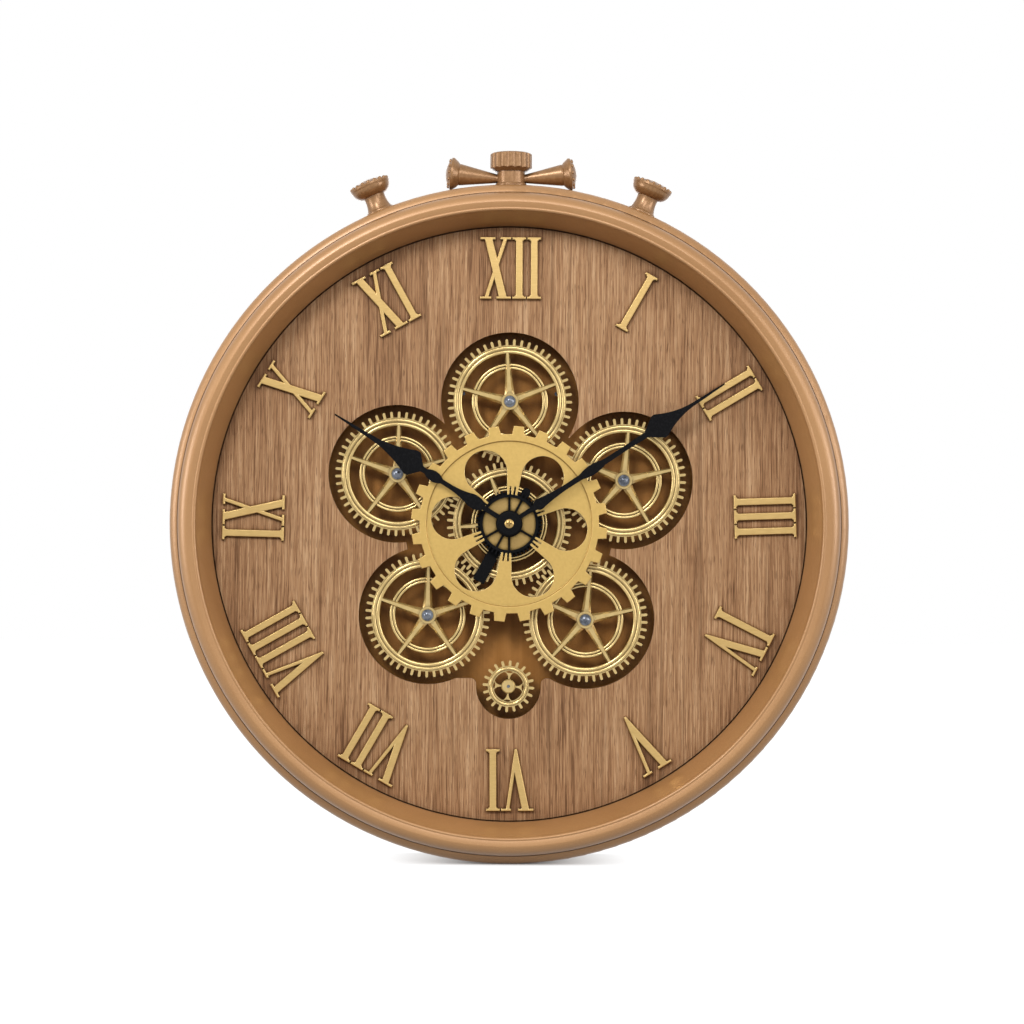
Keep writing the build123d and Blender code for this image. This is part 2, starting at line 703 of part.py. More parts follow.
RING_IN = 20.7
TUBE_CLEAR = TUBE_R + 0.7
spider = tube(PRONG_R, RING_IN, SLEEVE_FRONT, COG_FACE + 0.3)
spider += tube(24.6, RING_IN, SLEEVE_FRONT, COG_BACK)
spider += tube(10.4, TUBE_CLEAR, SLEEVE_FRONT, SLEEVE_FRONT + 3.4)
bars = Rectangle(1.7, 2 * RING_IN + 2)
spider_bars = Sketch() + bars
for angle in (60, 120, ARM_AT):
    spider_bars += turned_by(angle) * bars
spider_bars -= Circle(TUBE_CLEAR + 3)
spider += at(0, 0, SLEEVE_FRONT) * extrude(spider_bars, 2.6)
for k in range(48):
    tooth = Pos(0, 24.0) * Rectangle(1.1, 2 * (SPIDER_TOOTH_R - 24.0))
    tooth = turned_by(COG_TURN + PRONG_PITCH * (k + 0.5)) * tooth
    spider += at(0, 0, SLEEVE_FRONT) * extrude(tooth, COG_FACE - 0.2 - SLEEVE_FRONT)
save("spider_wheel", spider)


def front_cog():
    """A plate with square-cut teeth, six teardrop windows and forked spoke ends."""
    points = []
    pitch = 360.0 / COG_TEETH
    for k in range(COG_TEETH):
        a = k * pitch
        for r, across in ((COG_ROOT_R, -4.9), (COG_TIP_R, -4.0), (COG_TIP_R, 4.0), (COG_ROOT_R, 4.9)):
            x, y = on_face(r, a)
            points.append((x + across * cos(radians(a)), y - across * sin(radians(a))))
    plate = make_face(Polyline(*points, close=True))
    p = (9.2, 24.6)
    reach = hypot(p[0], COG_HOLE_AT - p[1])
    swing = COG_HOLE_R / reach
    run = sqrt(1 - swing**2)
    ux, uy = p[0] / reach, (p[1] - COG_HOLE_AT) / reach
    touch = (
        COG_HOLE_R * (ux * swing - uy * run),
        COG_HOLE_AT + COG_HOLE_R * (uy * swing + ux * run),
    )
    drop = [(0, 0), p, touch, (-touch[0], touch[1]), (-p[0], p[1])]
    window = make_face(Polyline(*drop, close=True)) + Pos(0, COG_HOLE_AT) * Circle(COG_HOLE_R)
    plate -= Circle(PRONG_R)
    for k in range(6):
        plate -= turned_by(30 + 60 * k) * window
        for half in (-0.5, 0.5):
            slot = Pos(0, 25.6) * Rectangle(PRONG_SLOT, 7.6)
            plate -= turned_by(60 * k + half * PRONG_PITCH) * slot
    solid = at(0, 0, COG_BACK) * extrude(plate, COG_FRONT - COG_BACK)
    rim = solid.faces().sort_by(Axis.Z)[-1].outer_wire()
    solid = chamfer(rim.edges(), COG_EDGE)
    top = COG_FRONT + 1
    foot_r = COG_STEP_R - COG_STEP_LEAN
    recess = turned((0, COG_FACE), (foot_r, COG_FACE), (COG_STEP_R, COG_FRONT), (COG_STEP_R, top), (0, top))
    return solid - recess


save("front_cog", turned_by(COG_TURN) * front_cog())

tube_piece = tube(TUBE_R, ARBOR_R + RUN, MOVE_FRONT + LOOSE, HOUR_FRONT)
save("hour_tube", tube_piece)
arbor = rod(ARBOR_R, MOVE_FRONT - 9, MINUTE_FRONT)
arbor -= rod(1.2, MINUTE_FRONT - 8, MINUTE_FRONT + 1)
save("minute_arbor", arbor)


def hand(side, bore_r, z0, z1):
    """A hand along y: its right side from the tip to the eye, mirrored, with a round eye."""
    tip = side[0][1]
    half = make_face(path((0, tip), *side, (0, 0)))
    blade = half + mirror(half, Plane.YZ) + Circle(EYE_R) - Circle(bore_r)
    return at(0, 0, z0) * extrude(blade, z1 - z0)


# Each side runs from the tip over the spade, the bulb and the leaf to the eye
HOUR_SIDE = (
    (0.6, 160.2),
    (1.85, 124.0),
    ((3.9, 109.9), (9.75, 92.1)),
    ((10.4, 89.8), (10.0, 87.5)),
    (2.4, 80.5),
    (2.0, 76.6),
    ((4.3, 69.7), (1.8, 62.0)),
    (1.9, 52.6),
    ((3.0, 43.3), (5.0, 35.6)),
    ((5.3, 31.0), (4.6, 27.1)),
    (1.9, 23.2),
    (1.9, 0),
)
MINUTE_SIDE = (
    (0.55, 199.7),
    (1.3, 175.0),
    ((3.4, 157.0), (9.0, 142.4)),
    ((9.9, 139.8), (9.6, 137.8)),
    (2.3, 126.9),
    (1.9, 108.0),
    (2.2, 87.5),
    ((3.9, 77.4), (2.2, 66.6)),
    (2.0, 54.2),
    ((2.6, 41.8), (4.1, 30.0)),
    ((4.5, 28.0), (4.2, 26.3)),
    (1.7, 22.4),
    (1.7, 0),
)
save("hour_hand", turned_by(HOUR_AT) * hand(HOUR_SIDE, TUBE_R, HOUR_BACK, HOUR_FRONT))
save("minute_hand", turned_by(MINUTE_AT) * hand(MINUTE_SIDE, ARBOR_R, MINUTE_BACK, MINUTE_FRONT))
cap = turned(
    (0, MINUTE_FRONT),
    (CAP_R, MINUTE_FRONT),
    (CAP_R, CAP_FRONT - 1.2),
    ((CAP_R - 0.4, CAP_FRONT - 0.4), (CAP_R - 1.2, CAP_FRONT)),
    (0, CAP_FRONT),
)
save("hand_cap", cap - rod(1.2, MINUTE_FRONT - 1, CAP_FRONT + 1))
hand_screw = turned(
    (0, MINUTE_FRONT - 6),
    (1.2, MINUTE_FRONT - 6),
    (1.2, CAP_FRONT),
    (3.5, CAP_FRONT),
    (3.5, CAP_FRONT + 0.6),
    dome(3.5, CAP_FRONT + 0.6, CAP_FRONT + 1.8),
)
save("hand_screw", hand_screw - cross_cut(3.2, CAP_FRONT + 0.7, CAP_FRONT + 3))


# Movement, gear motor and their cells
def cell(x, y):
    """A round cell lying along x with its nub to the right."""
    shoulder = BATTERY_L - 1.2
    body = turned(
        (0, 0),
        (BATTERY_R, 0),
        (BATTERY_R, shoulder),
        (NUB_R, shoulder),
        (NUB_R, BATTERY_L),
        (0, BATTERY_L),
    )
    lie = Plane(origin=(x - BATTERY_L / 2, y, BATTERY_Z), x_dir=(0, 1, 0), z_dir=(1, 0, 0)).location
    return lie * body


def housing(w, h, z0, z1, x, y):
    shell = extrude(RectangleRounded(w, h, 4.0), z1 - z0)
    shell = at(x, y, z0) * shell
    return chamfer(shell.faces().sort_by(Axis.Z)[0].edges(), 1.0)


def bay(x, y):
    return block(BATTERY_L, 2 * BAY_HALF, MODULE_REAR - 1, BATTERY_Z + BAY_HALF, x, y)


CELL_Y = -16.5
SET_SPOT = (14.0, 13.0)
movement = housing(MOVE_SIDE, MOVE_SIDE, MODULE_REAR, MOVE_FRONT, 0, 0)
movement -= bay(0, CELL_Y)
movement -= rod(9.0, MOVE_FRONT - 2, MOVE_FRONT + 1)
movement -= rod(ARBOR_R + RUN, MOVE_FRONT - 9.5, MOVE_FRONT + 1)
movement -= rod(ARBOR_R + RUN, MODULE_REAR - 1, MODULE_REAR + 9, *SET_SPOT)
save("movement_case", movement)
save("movement_cell", cell(0, CELL_Y))
grip = Circle(8.0)
for k in range(14):
    x, y = on_face(8.4, 360.0 / 14 * k)
    grip -= Pos(x, y) * Circle(0.9)
knob_z = MODULE_REAR - LOOSE
set_knob = at(*SET_SPOT, knob_z - 5) * extrude(grip, 5)
set_knob += rod(ARBOR_R, knob_z, MODULE_REAR + 8, *SET_SPOT)
save("set_knob", set_knob)

mx, my = MOTOR_MID
motor = housing(MOTOR_W, MOTOR_H, MODULE_REAR, PANEL_REAR, mx, my)
for x, y in motor_spots:
    motor += block(14, 14, PANEL_REAR - EAR_T, PANEL_REAR, x, y)
for x, y in motor_spots:
    motor -= rod(SCREW_R, PANEL_REAR - 5, PANEL_REAR + 1, x, y)
MOTOR_CELL_Y = my + 15.0
motor -= bay(mx, MOTOR_CELL_Y)
x, y = on_face(CENTRE_DISTANCE, PLANET_ANGLES[0])
motor -= rod(JOURNAL_R + RUN, PANEL_REAR - 10.5, PANEL_REAR + 1, x, y)
SWITCH = (mx - 16.0, my - 15.0)
SWITCH_W = 5.0
SWITCH_H = 4.4
SWITCH_TRAVEL = 3.5
slot_w = SWITCH_W + SWITCH_TRAVEL + 2 * SLIP
slot_h = SWITCH_H + 2 * SLIP
motor -= block(slot_w, slot_h, MODULE_REAR - 1, MODULE_REAR + 4, *SWITCH)
save("gear_motor_case", motor)
save("gear_motor_cell", cell(mx, MOTOR_CELL_Y))
motor_screw_l = EAR_T + PANEL_T - 1
save("gear_motor_screws", *[wood_screw(x, y, PANEL_REAR - EAR_T, motor_screw_l) for x, y in motor_spots])
switch_x = SWITCH[0] - SWITCH_TRAVEL / 2
slider = block(SWITCH_W, SWITCH_H, MODULE_REAR - 1.6, MODULE_REAR + 4 - SLIP, switch_x, SWITCH[1])
save("gear_motor_switch", slider)


# Hanger at the top of the rear
HANG_DROP = 26.0
HANG_Y = BORE_R - HANG_DROP
HANG_PLATE_T = 1.5
HANG_REAR = 2.0
hang_front = HANG_REAR + HANG_PLATE_T
hang_block = block(84, 36, hang_front, PANEL_REAR, 0, HANG_Y)
hang_block -= block(16, 26, hang_front - 1, hang_front + 10, 0, HANG_Y)
hang_spots = [(-28.0, HANG_Y), (28.0, HANG_Y)]
for x, y in hang_spots:
    hang_block -= rod(SCREW_R, hang_front - 1, hang_front + 14, x, y)
save("hanger_block", hang_block)
KEY_R = 4.5
KEY_Y = HANG_Y - 5.0
plate = RectangleRounded(72, 24, 4.0)
plate -= Pos(0, KEY_Y - HANG_Y) * Circle(KEY_R)
plate -= Pos(0, KEY_Y - HANG_Y + 5) * Rectangle(KEY_R, 10) + Pos(0, KEY_Y - HANG_Y + 10) * Circle(KEY_R / 2)
plate = at(0, HANG_Y, HANG_REAR) * extrude(plate, HANG_PLATE_T)
for x, y in hang_spots:
    plate -= rod(SCREW_R, 0, 10, x, y)
save("hanger_plate", plate)
flat_screws = []
for x, y in hang_spots:
    head = at(x, y) * turned((0, HANG_REAR), (3.2, HANG_REAR), (2.6, HANG_REAR - 1.4), (0, HANG_REAR - 1.6))
    screw = rod(SCREW_R, HANG_REAR, hang_front + 14, x, y) + head
    flat_screws.append(screw - cross_cut(2.6, HANG_REAR - 3, HANG_REAR - 0.6, x, y))
save("hanger_screws", *flat_screws)
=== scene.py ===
import json
from math import atan2, cos, hypot, pi, radians, sin

import bpy
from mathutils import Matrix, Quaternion, Vector


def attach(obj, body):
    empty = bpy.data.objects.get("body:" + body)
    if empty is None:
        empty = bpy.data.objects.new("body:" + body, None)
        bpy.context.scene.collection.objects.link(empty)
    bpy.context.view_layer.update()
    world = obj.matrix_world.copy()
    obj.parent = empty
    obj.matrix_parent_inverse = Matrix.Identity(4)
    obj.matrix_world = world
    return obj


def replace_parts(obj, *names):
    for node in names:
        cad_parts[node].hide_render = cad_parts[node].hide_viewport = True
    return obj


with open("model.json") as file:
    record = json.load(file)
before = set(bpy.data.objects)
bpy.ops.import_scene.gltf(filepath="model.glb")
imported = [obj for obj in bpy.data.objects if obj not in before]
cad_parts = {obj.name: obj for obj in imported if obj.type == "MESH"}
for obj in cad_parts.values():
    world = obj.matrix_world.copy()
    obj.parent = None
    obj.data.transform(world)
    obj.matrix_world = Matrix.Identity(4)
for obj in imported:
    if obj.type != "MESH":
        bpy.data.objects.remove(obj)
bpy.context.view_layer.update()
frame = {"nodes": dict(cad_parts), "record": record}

# The clock in metres, with the turned profiles in millimetres
MM = 0.001
CASE_RADIUS = 0.265
FACE_PLANE = -0.057
# Where the painted shade of the groove between shoulder and bezel lies
GROOVE_RADII = (0.2574, 0.2584)
GROOVE_FADE = 0.0005
GROOVE_FRONT = (0.058, 0.060)
RIM_FACETS = 480
SHARP_EDGE = radians(40)

# The floor's painted shadow round the foot, which fades sooner before the clock than to its sides
FLOOR_HALF = 4.0
SHADOW_REACH = 0.115
SHADOW_FALL = 6
ROOM_LIGHT = 0.18

# The picture in pixels, a pixel's width at the face, and the line of sight
IMAGE_SIDE = 1024
AXIS_PIXEL = (509.3, 523.8)
PIXEL = 0.781 * MM
LENS_MM = 90.0
SENSOR_MM = 36.0
BELOW_AXIS = radians(0.5)
ROLL = radians(0.3)


# Shader arithmetic
class Shade:
    """A value in a shader. Arithmetic on it adds Math nodes to the same shader."""

    def __init__(self, tree, socket=None):
        self.tree = tree
        self.socket = socket

    def add(self, kind, settings=(), sockets=(), out=0):
        """Add a node: its settings first, then the values or links of its sockets."""
        made = self.tree.nodes.new(kind)
        for key, value in dict(settings).items():
            if key == "stops":
                set_stops(made.color_ramp, value)
            else:
                setattr(made, key, value)
        for key, value in dict(sockets).items():
            if isinstance(value, Shade):
                self.tree.links.new(value.socket, made.inputs[key])
            else:
                made.inputs[key].default_value = value
        return Shade(self.tree, made.outputs[out])

    def maths(self, operation, first, second=0.0, clamp=False):
        settings = {"operation": operation, "use_clamp": clamp}
        return self.add("ShaderNodeMath", settings, {0: first, 1: second})

    def __add__(self, other):
        return self.maths("ADD", self, other)

    def __radd__(self, other):
        return self.maths("ADD", other, self)

    def __sub__(self, other):
        return self.maths("SUBTRACT", self, other)

    def __rsub__(self, other):
        return self.maths("SUBTRACT", other, self)

    def __mul__(self, other):
        return self.maths("MULTIPLY", self, other)

    def __rmul__(self, other):
        return self.maths("MULTIPLY", other, self)

    def clamped(self):
        return self.maths("ADD", self, 0.0, clamp=True)


def set_stops(ramp, stops):
    """Give a colour ramp these stops of (place, colour)."""
    while len(ramp.elements) > 1:
        ramp.elements.remove(ramp.elements[-1])
    ramp.elements[0].position = stops[0][0]
    ramp.elements[0].color = (*stops[0][1], 1)
    for place, colour in stops[1:]:
        ramp.elements.new(place).color = (*colour, 1)


def new_finish(name):
    """An empty material: its start for nodes, and its surface shader."""
    material = bpy.data.materials.new(name)
    material.use_nodes = True
    surface = material.node_tree.nodes["Principled BSDF"]
    return material, Shade(material.node_tree), surface


def feed(shade, surface, name, value):
    """Set a socket of the surface shader, or link a value to it."""
    if isinstance(value, Shade):
        shade.tree.links.new(value.socket, surface.inputs[name])
    else:
        surface.inputs[name].default_value = value


def place_on(shade):
    """The place on the clock in metres."""
    return shade.add("ShaderNodeTexCoord", out="Object")


def noise(shade, where, stretch, detail=2.0, roughness=0.5, offset=(0, 0, 0)):
    """Noise with this many cells to the metre along each axis."""
    scaled = shade.add("ShaderNodeMapping", {}, {"Vector": where, "Scale": stretch, "Location": offset})
    sockets = {"Vector": scaled, "Scale": 1.0, "Detail": detail, "Roughness": roughness}
    return shade.add("ShaderNodeTexNoise", {}, sockets)


def band(shade, value, low, high):
    """0 below low, 1 above high, smooth between."""
    settings = {"interpolation_type": "SMOOTHSTEP", "clamp": True}
    return shade.add("ShaderNodeMapRange", settings, {"Value": value, "From Min": low, "From Max": high})


def blend(shade, factor, first, second, kind="MIX"):
    """Mix two colours."""
    settings = {"data_type": "RGBA", "blend_type": kind, "clamp_factor": True}
    return shade.add("ShaderNodeMix", settings, {0: factor, 6: rgba(first), 7: rgba(second)}, out=2)


def rgba(colour):
    """A colour with its alpha, or a link as it is."""
    return colour if isinstance(colour, Shade) else (*colour, 1)


def bump(shade, height, strength, distance, normal=None):
    """A normal that follows this height."""
    sockets = {"Height": height, "Strength": strength, "Distance": distance}
    if normal is not None:
        sockets["Normal"] = normal
    return shade.add("ShaderNodeBump", {}, sockets)


def painted_edge_highlight(shade, radius):
    """A mask of outer edges for a painted highlight, with the rounded normal that it comes from."""
    rounded = shade.add("ShaderNodeBevel", {"samples": 6}, {"Radius": radius})
    flat = shade.add("ShaderNodeNewGeometry", out="Normal")
    turned = {0: rounded, 1: flat}
    facing = shade.add("ShaderNodeVectorMath", {"operation": "DOT_PRODUCT"}, turned, out="Value")
    return band(shade, 1 - facing, 0.02, 0.25), rounded


def free_of_painted_shade(shade, reach, low, high):
    """A mask for painted shade: 1 in the open, and 0 in corners and hollows within this reach."""
    seen = shade.add("ShaderNodeAmbientOcclusion", {"samples": 6}, {"Distance": reach}, out="AO")
    return band(shade, seen, low, high)


def painted_groove_shade(shade, where):
    """A mask for painted shade in the narrow groove between the case's shoulder and the bezel."""
    inner, outer = GROOVE_RADII
    flat = shade.add("ShaderNodeVectorMath", {"operation": "MULTIPLY"}, {0: where, 1: (1, 0, 1)})
    radius = shade.add("ShaderNodeVectorMath", {"operation": "LENGTH"}, {0: flat}, out="Value")
    forward = 0 - shade.add("ShaderNodeSeparateXYZ", {}, {0: where}, out="Y")
    past_inner = band(shade, radius, inner - GROOVE_FADE, inner)
    past_outer = band(shade, radius, outer, outer + GROOVE_FADE)
    return past_inner * (1 - past_outer) * band(shade, forward, *GROOVE_FRONT)


# Finishes
def bronze_lacquer():
    """Satin bronze lacquer sprayed thick on turned wood, with fine metal flake and painted shade in the
    groove.
    """
    material, shade, surface = new_finish("bronze_lacquer")
    where = place_on(shade)
    cloud = noise(shade, where, (7, 7, 7), detail=3)
    flake = noise(shade, where, (2400, 2400, 2400), detail=1)
    tone = blend(shade, band(shade, cloud, 0.3, 0.7), (0.385, 0.186, 0.062), (0.450, 0.228, 0.082))
    tone = blend(shade, band(shade, flake, 0.50, 0.75) * 0.3, tone, (0.68, 0.43, 0.21))
    # Painted shade in the groove: a darker colour and less coat there.
    groove = painted_groove_shade(shade, where)
    feed(shade, surface, "Base Color", blend(shade, groove * 0.70, tone, (0.110, 0.052, 0.020)))
    feed(shade, surface, "Metallic", 0.18 + 0.15 * flake)
    feed(shade, surface, "Roughness", 0.38 + 0.10 * cloud)
    feed(shade, surface, "Coat Weight", 0.50 - 0.45 * groove)
    feed(shade, surface, "Coat Roughness", 0.30)
    feed(shade, surface, "Normal", bump(shade, flake, 0.03, 0.0002))
    return material


def cast_bronze():
    """The same lacquer on cast pieces, with painted shade in their hollows and a faintly grainy skin."""
    material, shade, surface = new_finish("cast_bronze")
    where = place_on(shade)
    grain = noise(shade, where, (420, 420, 420), detail=2)
    patch = noise(shade, where, (90, 90, 90), detail=2)
    tone = blend(shade, band(shade, grain, 0.32, 0.68), (0.265, 0.132, 0.050), (0.335, 0.178, 0.074))
    tone = blend(shade, patch * 0.4, tone, (0.295, 0.152, 0.060))
    # Painted shade in the hollows.
    clear = free_of_painted_shade(shade, 0.006, 0.30, 0.80)
    feed(shade, surface, "Base Color", blend(shade, clear, (0.060, 0.026, 0.008), tone))
    feed(shade, surface, "Metallic", 0.30)
    feed(shade, surface, "Roughness", 0.26 + 0.08 * grain)
    feed(shade, surface, "Normal", bump(shade, grain, 0.03, 0.0004))
    return material


def walnut_veneer():
    """Walnut veneer with upright bands, fine streaks, dark seams and open pores, with painted shade by
    the rim and in tight corners.
    """
    material, shade, surface = new_finish("walnut_veneer")
    where = place_on(shade)
    sway = noise(shade, where, (6, 6, 2.5), detail=1)
    wander = shade.add("ShaderNodeCombineXYZ", {}, {"X": (sway - 0.5) * 0.010})
    along = shade.add("ShaderNodeVectorMath", {"operation": "ADD"}, {0: where, 1: wander})
    bands = noise(shade, along, (30, 30, 2.2), detail=4, roughness=0.6)
    streaks = noise(shade, along, (300, 300, 9), detail=3)
    fine = noise(shade, along, (1050, 1050, 26), detail=2, roughness=0.6)
    fibres = noise(shade, along, (3000, 3000, 40), detail=2)
    pores = band(shade, noise(shade, along, (2000, 2000, 90), detail=1), 0.57, 0.66)
    seams = band(shade, noise(shade, along, (170, 170, 4), detail=2, offset=(3, 0, 1)), 0.58, 0.70)
    tone = 0.24 * bands + 0.14 * streaks + 0.46 * fine + 0.16 * fibres
    stops = (
        (0.39, (0.150, 0.068, 0.030)),
        (0.45, (0.335, 0.170, 0.078)),
        (0.53, (0.462, 0.258, 0.127)),
        (0.60, (0.605, 0.374, 0.204)),
    )
    wood = shade.add("ShaderNodeValToRGB", {"stops": stops}, {"Fac": tone})
    wood = blend(shade, seams * 0.45, wood, (0.170, 0.082, 0.036))
    wood = blend(shade, pores * 0.60, wood, (0.120, 0.052, 0.023))
    # Painted shade near the rim's wall.
    shaded = blend(shade, 1.0, wood, (0.44, 0.40, 0.36), "MULTIPLY")
    wood = blend(shade, free_of_painted_shade(shade, 0.035, 0.48, 0.92), shaded, wood)
    # Painted shade in tight corners, round the numerals and at the dial's edge.
    clear = free_of_painted_shade(shade, 0.0025, 0.20, 0.80)
    feed(shade, surface, "Base Color", blend(shade, clear, (0.070, 0.026, 0.005), wood))
    feed(shade, surface, "Specular IOR Level", 0.20)
    feed(shade, surface, "Roughness", 0.50 + 0.16 * fibres)
    feed(shade, surface, "Normal", bump(shade, fibres - 0.8 * pores, 0.25, 0.0003))
    return material


def brown_board():
    """Board stained brown under a satin varnish, with faint upright streaks, and painted shade in its
    corners.
    """
    material, shade, surface = new_finish("brown_board")
    where = place_on(shade)
    streaks = noise(shade, where, (140, 140, 3), detail=4, roughness=0.6)
    cloud = noise(shade, where, (14, 14, 9), detail=3)
    tone = blend(shade, band(shade, streaks, 0.32, 0.68), (0.330, 0.145, 0.036), (0.460, 0.215, 0.064))
    tone = blend(shade, cloud * 0.5, tone, (0.400, 0.180, 0.050))
    # Painted shade in the corners and along the cut-out edges.
    clear = free_of_painted_shade(shade, 0.030, 0.10, 0.62)
    feed(shade, surface, "Base Color", blend(shade, clear, (0.050, 0.020, 0.002), tone))
    feed(shade, surface, "Specular IOR Level", 0.10)
    feed(shade, surface, "Roughness", 0.24 + 0.14 * cloud)
    feed(shade, surface, "Normal", bump(shade, streaks, 0.12, 0.0004))
    return material


def gold_finish(name, colour, shadow, metal, roughness, brushed, edge=0.0, coat=0.0, unshaded_above=0.80):
    """Gold paint or metal, with painted shade in its hollows, and a painted highlight on its edges when
    asked for.
    """
    material, shade, surface = new_finish(name)
    where = place_on(shade)
    grain = noise(shade, where, brushed, detail=3, roughness=0.6)
    cloud = noise(shade, where, (60, 60, 60), detail=2)
    tone = blend(shade, band(shade, grain, 0.3, 0.7) * 0.5 + cloud * 0.4, shadow, colour)
    gloss = roughness + 0.10 * grain
    normal = bump(shade, grain, 0.04, 0.0003)
    if edge > 0:
        # Painted highlight along the edges.
        edges, rounded = painted_edge_highlight(shade, edge)
        tone = blend(shade, edges * 0.7, tone, (0.95, 0.80, 0.47))
        gloss = (gloss - 0.10 * edges).clamped()
        normal = bump(shade, grain, 0.04, 0.0003, rounded)
    # Painted shade in the hollows.
    clear = free_of_painted_shade(shade, 0.003, unshaded_above - 0.45, unshaded_above)
    feed(shade, surface, "Base Color", blend(shade, clear, (0.110, 0.068, 0.014), tone))
    feed(shade, surface, "Metallic", metal)
    feed(shade, surface, "Roughness", gloss)
    feed(shade, surface, "Coat Weight", coat)
    feed(shade, surface, "Coat Roughness", 0.15)
    feed(shade, surface, "Normal", normal)
    return material


def zinc_steel():
    """Zinc-plated steel with a faint blue tint."""
    material, shade, surface = new_finish("zinc_steel")
    where = place_on(shade)
    grain = noise(shade, where, (260, 260, 260), detail=2)
    tone = blend(shade, band(shade, grain, 0.3, 0.7), (0.075, 0.083, 0.100), (0.175, 0.188, 0.215))
    feed(shade, surface, "Base Color", tone)
    feed(shade, surface, "Metallic", 1.0)
    feed(shade, surface, "Roughness", 0.20 + 0.16 * grain)
    return material


def black_finish(name, roughness, grain_scale):
    """Matt black, with a fine grain and a little dust-grey in its high spots."""
    material, shade, surface = new_finish(name)
    where = place_on(shade)
    grain = noise(shade, where, (grain_scale, grain_scale, grain_scale), detail=3)
    tone = blend(shade, band(shade, grain, 0.4, 0.8), (0.0030, 0.0030, 0.0036), (0.010, 0.010, 0.011))
    feed(shade, surface, "Base Color", tone)
    feed(shade, surface, "Specular IOR Level", 0.06)
    feed(shade, surface, "Roughness", roughness + 0.14 * grain)
    feed(shade, surface, "Normal", bump(shade, grain, 0.12, 0.0002))
    return material


def cell_sleeve():
    """The plain dark sleeve of a cell, paler at its nub end."""
    material, shade, surface = new_finish("cell_sleeve")
    where = place_on(shade)
    across = shade.add("ShaderNodeSeparateXYZ", {}, {0: where}, out="X")
    scuffs = noise(shade, where, (40, 500, 500), detail=3)
    nub_end = band(shade, across, 0.0150, 0.0154)
    metal = band(shade, across, 0.0238, 0.0240)
    tone = blend(shade, nub_end, (0.018, 0.022, 0.026), (0.46, 0.30, 0.13))
    tone = blend(shade, metal, tone, (0.62, 0.63, 0.66))
    tone = blend(shade, band(shade, scuffs, 0.55, 0.8) * 0.25, tone, (0.3, 0.3, 0.3))
    feed(shade, surface, "Base Color", tone)
    feed(shade, surface, "Metallic", metal)
    feed(shade, surface, "Roughness", 0.26 + 0.2 * scuffs)
    return material


FINISHES = {
    "bronze_lacquer": bronze_lacquer(),
    "bronze_resin": cast_bronze(),
    "dial_wood": walnut_veneer(),
    "backing_wood": brown_board(),
    "numeral_brass": gold_finish(
        "numeral_gold",
        colour=(0.60, 0.410, 0.160),
        shadow=(0.50, 0.330, 0.120),
        metal=0.8,
        roughness=0.30,
        brushed=(160, 160, 900),
        edge=0.0005,
    ),
    "wheel_brass": gold_finish(
        "wheel_brass",
        colour=(0.68, 0.500, 0.205),
        shadow=(0.52, 0.360, 0.128),
        metal=0.7,
        roughness=0.16,
        brushed=(240, 240, 240),
        coat=0.6,
        unshaded_above=0.95,
    ),
    "cog_brass": gold_finish(
        "cog_gold",
        colour=(0.60, 0.400, 0.124),
        shadow=(0.52, 0.340, 0.100),
        metal=0.7,
        roughness=0.34,
        brushed=(420, 420, 420),
        edge=0.0004,
        unshaded_above=0.95,
    ),
    "fitting_brass": gold_finish(
        "turned_brass",
        colour=(0.48, 0.32, 0.115),
        shadow=(0.36, 0.23, 0.075),
        metal=0.8,
        roughness=0.28,
        brushed=(900, 900, 900),
    ),
    "steel": zinc_steel(),
    "black_lacquer": black_finish("black_lacquer", 0.42, 800),
    "black_plastic": black_finish("black_plastic", 0.48, 1500),
    "cell_sleeve": cell_sleeve(),
}

for part in frame["record"]["subparts"]:
    mesh = frame["nodes"][part["node"]].data
    mesh.materials.clear()
    mesh.materials.append(FINISHES[part["material_slot"]])


# Turned pieces
def arc(first, middle, last, steps):
    """Points on the circle through three points, from the first to the last."""
    (ax, ay), (bx, by), (cx, cy) = first, middle, last
    twice = 2 * (ax * (by - cy) + bx * (cy - ay) + cx * (ay - by))
    aa, bb, cc = ax * ax + ay * ay, bx * bx + by * by, cx * cx + cy * cy
    x = (aa * (by - cy) + bb * (cy - ay) + cc * (ay - by)) / twice
    y = (aa * (cx - bx) + bb * (ax - cx) + cc * (bx - ax)) / twice
    radius = hypot(ax - x, ay - y)
    start = atan2(ay - y, ax - x)
    turn = (atan2(cy - y, cx - x) - start + pi) % (2 * pi) - pi
    angles = [start + turn * k / steps for k in range(1, steps + 1)]
    return [(x + radius * cos(a), y + radius * sin(a)) for a in angles]


def turned_piece(name, finish, profile):
    """A closed profile turned about the clock's axis. Its (radius, height) points run clockwise."""
    count = len(profile)
    points = []
    faces = []
    for k in range(RIM_FACETS):
        a = 2 * pi * k / RIM_FACETS
        points += [(r * sin(a) * MM, -h * MM, r * cos(a) * MM) for r, h in profile]
        here, there = k * count, (k + 1) % RIM_FACETS * count
        for i in range(count):
            j = (i + 1) % count
            faces.append((here + i, there + i, there + j, here + j))
    mesh = bpy.data.meshes.new(name)
    mesh.from_pydata(points, [], faces)
    mesh.shade_smooth()
    mesh.set_sharp_from_angle(angle=SHARP_EDGE)
    mesh.materials.append(FINISHES[finish])
    piece = bpy.data.objects.new(name, mesh)
    bpy.context.scene.collection.objects.link(piece)
    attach(piece, "clock_case")
    return piece


